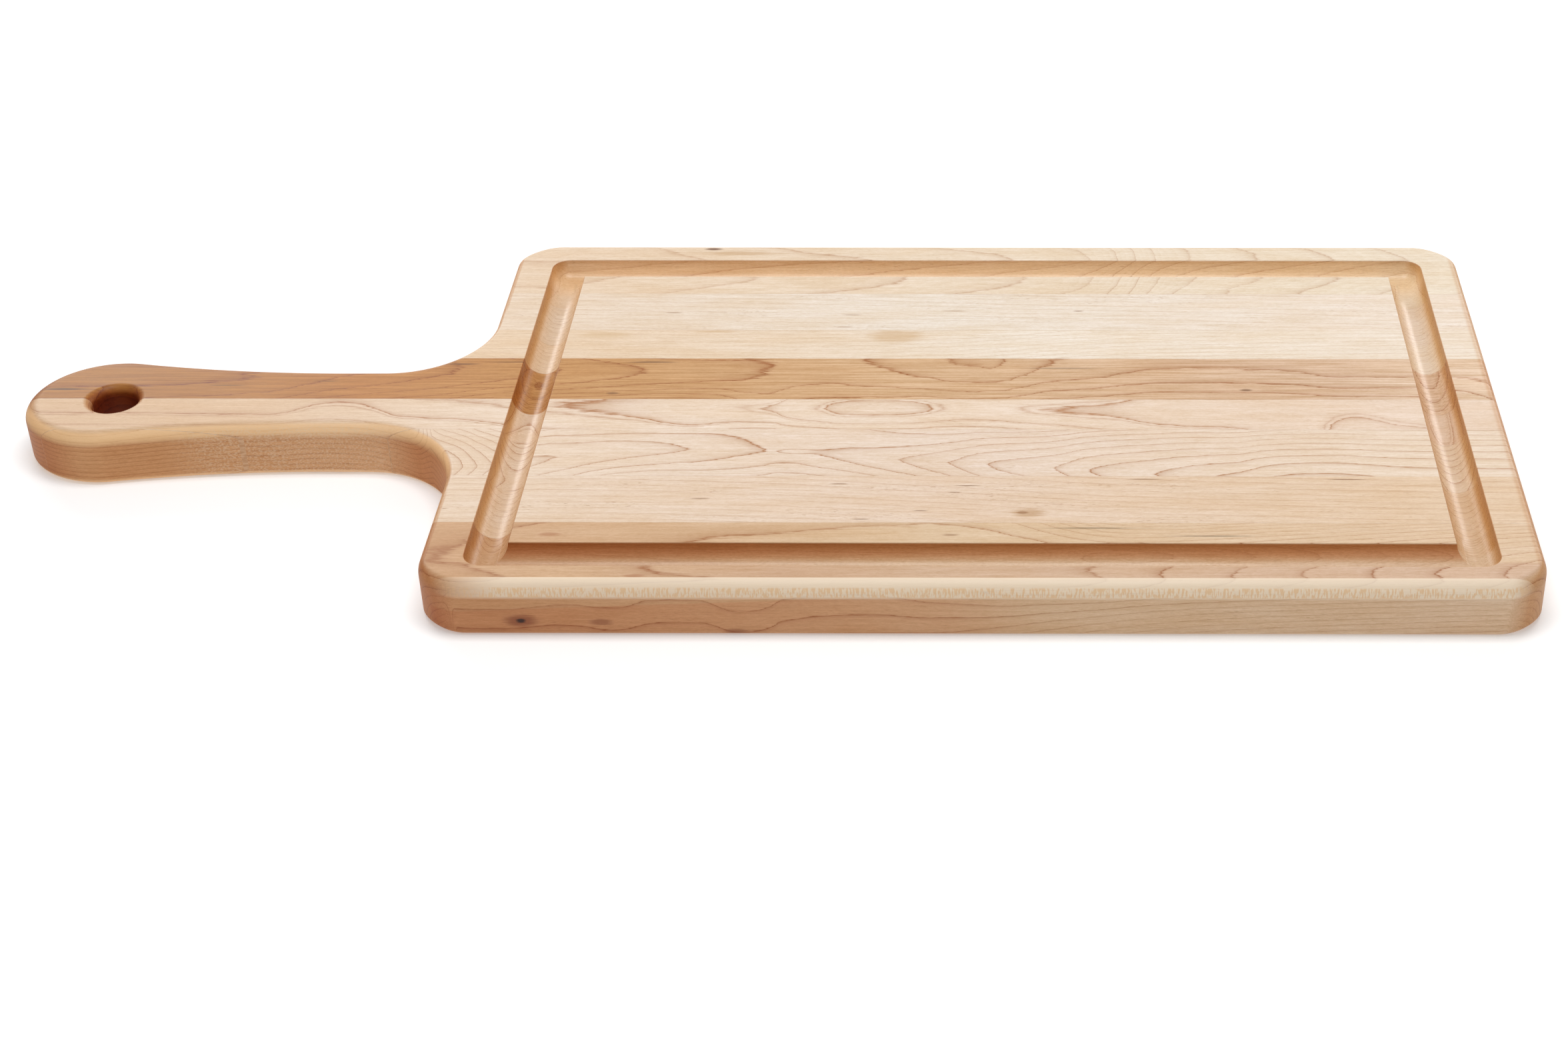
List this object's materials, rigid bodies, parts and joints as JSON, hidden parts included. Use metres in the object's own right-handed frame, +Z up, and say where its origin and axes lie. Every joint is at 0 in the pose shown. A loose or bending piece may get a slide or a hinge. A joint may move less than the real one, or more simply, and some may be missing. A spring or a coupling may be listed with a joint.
{
  "type": "cutting board",
  "caption": "Paddle-shaped edge-glued maple cutting board with a juice groove round its face, a waisted handle and a hanging hole.",
  "frame": {"origin": "centre of the overall box, handle included, at the underside the board rests on", "axes": "+X from the handle's tip towards the body's far end, along the grain; +Y across the staves; +Z up, out of the grooved face"},
  "size_m": [0.5098, 0.2286, 0.0191],
  "materials": {
    "stave_1": "oiled maple, satin",
    "stave_2": "oiled maple, satin",
    "stave_3": "oiled maple, satin",
    "stave_4": "oiled maple, satin",
    "stave_5": "oiled maple, satin",
    "stave_6": "oiled maple, satin",
    "stave_7": "oiled maple, satin",
    "stave_8": "oiled maple, satin",
    "glue": "cured wood glue"
  },
  "bodies": {
    "root": {"stave_1": "stave_1", "stave_2": "stave_2", "stave_3": "stave_3", "stave_4": "stave_4", "stave_5": "stave_5", "stave_6": "stave_6", "stave_7": "stave_7", "stave_8": "stave_8", "stave_6_cheek": "stave_6", "glue_1": "glue", "glue_2": "glue", "glue_3": "glue", "glue_4": "glue", "glue_4_tip": "glue", "glue_5": "glue", "glue_5_cheek": "glue", "glue_6": "glue", "glue_7": "glue"}
  },
  "joints": []
}
